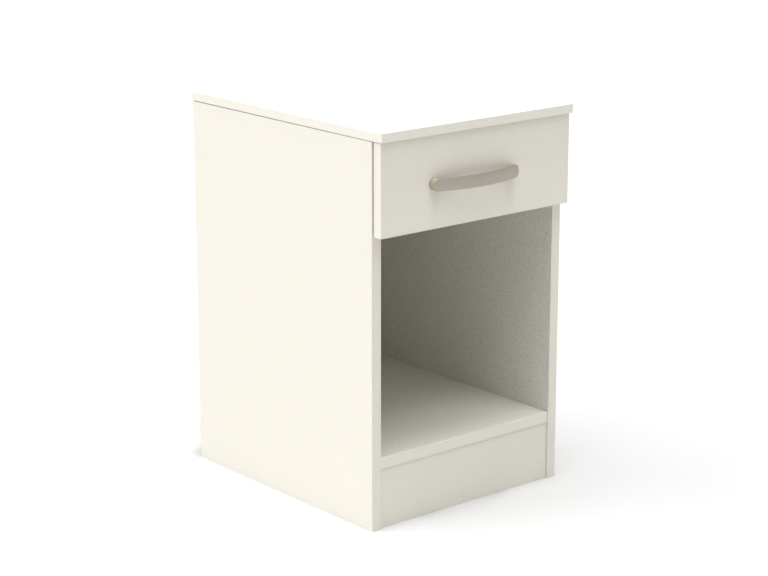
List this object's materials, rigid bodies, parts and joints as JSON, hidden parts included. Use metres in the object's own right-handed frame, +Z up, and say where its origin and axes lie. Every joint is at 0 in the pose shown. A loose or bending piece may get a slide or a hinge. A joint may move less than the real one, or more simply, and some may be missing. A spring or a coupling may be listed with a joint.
{
  "type": "bedside cabinet",
  "caption": "Free-standing cream bedside cabinet with an oversailing top, a drawer with an arched handle on roller runners, an open compartment and a set-back plinth.",
  "frame": {"origin": "on the floor, under the middle of the box round the whole cabinet with its handle", "axes": "+Z up, the front with drawer and handle faces -Y, +X is to the right seen from the front"},
  "size_m": [0.401, 0.5124, 0.64],
  "materials": {
    "cream_laminate": "cream melamine-faced board, fine satin texture",
    "cream_edging": "cream plastic edging strip, satin",
    "coated_steel": "cream epoxy powder coat",
    "white_nylon": "satin white nylon",
    "satin_nickel": "satin nickel plate on die-cast zinc",
    "zinc_plate": "bright zinc plate",
    "buffer_pad": "translucent soft pad"
  },
  "bodies": {
    "carcass": {"top_panel": "cream_laminate", "side_panel_left": "cream_laminate", "side_panel_right": "cream_laminate", "back_panel": "cream_laminate", "base_shelf": "cream_laminate", "divider_shelf": "cream_laminate", "plinth_panel": "cream_laminate", "top_edging": "cream_edging", "side_edging_left": "cream_edging", "side_edging_right": "cream_edging", "base_shelf_edging": "cream_edging", "divider_shelf_edging": "cream_edging", "base_shelf_connector_left_front": "zinc_plate", "base_shelf_connector_left_rear": "zinc_plate", "base_shelf_connector_right_front": "zinc_plate", "base_shelf_connector_right_rear": "zinc_plate", "divider_connector_left_front": "zinc_plate", "divider_connector_left_rear": "zinc_plate", "divider_connector_right_front": "zinc_plate", "divider_connector_right_rear": "zinc_plate", "top_connector_left_front": "zinc_plate", "top_connector_left_rear": "zinc_plate", "top_connector_right_front": "zinc_plate", "top_connector_right_rear": "zinc_plate", "cabinet_runner_left": "coated_steel", "cabinet_runner_right": "coated_steel", "cabinet_roller_axle_left": "zinc_plate", "cabinet_roller_axle_right": "zinc_plate", "cabinet_runner_screw_left_front": "zinc_plate", "cabinet_runner_screw_left_rear": "zinc_plate", "cabinet_runner_screw_right_front": "zinc_plate", "cabinet_runner_screw_right_rear": "zinc_plate", "buffer_left": "buffer_pad", "buffer_right": "buffer_pad"},
    "drawer": {"drawer_front": "cream_laminate", "drawer_inner_front": "cream_laminate", "drawer_side_left": "cream_laminate", "drawer_side_right": "cream_laminate", "drawer_back": "cream_laminate", "drawer_bottom": "cream_laminate", "drawer_front_edging": "cream_edging", "drawer_runner_left": "coated_steel", "drawer_runner_right": "coated_steel", "drawer_roller_axle_left": "zinc_plate", "drawer_roller_axle_right": "zinc_plate", "drawer_runner_screw_left_front": "zinc_plate", "drawer_runner_screw_left_rear": "zinc_plate", "drawer_runner_screw_right_front": "zinc_plate", "drawer_runner_screw_right_rear": "zinc_plate", "drawer_front_screw_left_lower": "zinc_plate", "drawer_front_screw_left_upper": "zinc_plate", "drawer_front_screw_right_lower": "zinc_plate", "drawer_front_screw_right_upper": "zinc_plate", "handle": "satin_nickel", "handle_screw_left": "zinc_plate", "handle_screw_right": "zinc_plate"},
    "cabinet_wheel_left": {"cabinet_roller_left": "white_nylon"},
    "cabinet_wheel_right": {"cabinet_roller_right": "white_nylon"},
    "drawer_wheel_left": {"drawer_roller_left": "white_nylon"},
    "drawer_wheel_right": {"drawer_roller_right": "white_nylon"}
  },
  "joints": [
    {"name": "drawer_slide", "type": "slide", "parent": "carcass", "child": "drawer", "axis": [0, -1, 0], "range_m": [0, 0.3]},
    {"name": "cabinet_roller_spin_left", "type": "hinge", "parent": "carcass", "child": "cabinet_wheel_left", "pos_m": [-0.176, -0.19375, 0.519], "axis": [1, 0, 0], "continuous": true},
    {"name": "drawer_roller_spin_left", "type": "hinge", "parent": "drawer", "child": "drawer_wheel_left", "pos_m": [-0.176, 0.17575, 0.516], "axis": [1, 0, 0], "continuous": true},
    {"name": "cabinet_roller_spin_right", "type": "hinge", "parent": "carcass", "child": "cabinet_wheel_right", "pos_m": [0.176, -0.19375, 0.519], "axis": [1, 0, 0], "continuous": true},
    {"name": "drawer_roller_spin_right", "type": "hinge", "parent": "drawer", "child": "drawer_wheel_right", "pos_m": [0.176, 0.17575, 0.516], "axis": [1, 0, 0], "continuous": true}
  ],
  "couplings": [
    {"joint": "cabinet_roller_spin_left", "follows": "drawer_slide", "rad_per_m": 95.238},
    {"joint": "drawer_roller_spin_left", "follows": "drawer_slide", "rad_per_m": 95.238},
    {"joint": "cabinet_roller_spin_right", "follows": "drawer_slide", "rad_per_m": 95.238},
    {"joint": "drawer_roller_spin_right", "follows": "drawer_slide", "rad_per_m": 95.238}
  ]
}
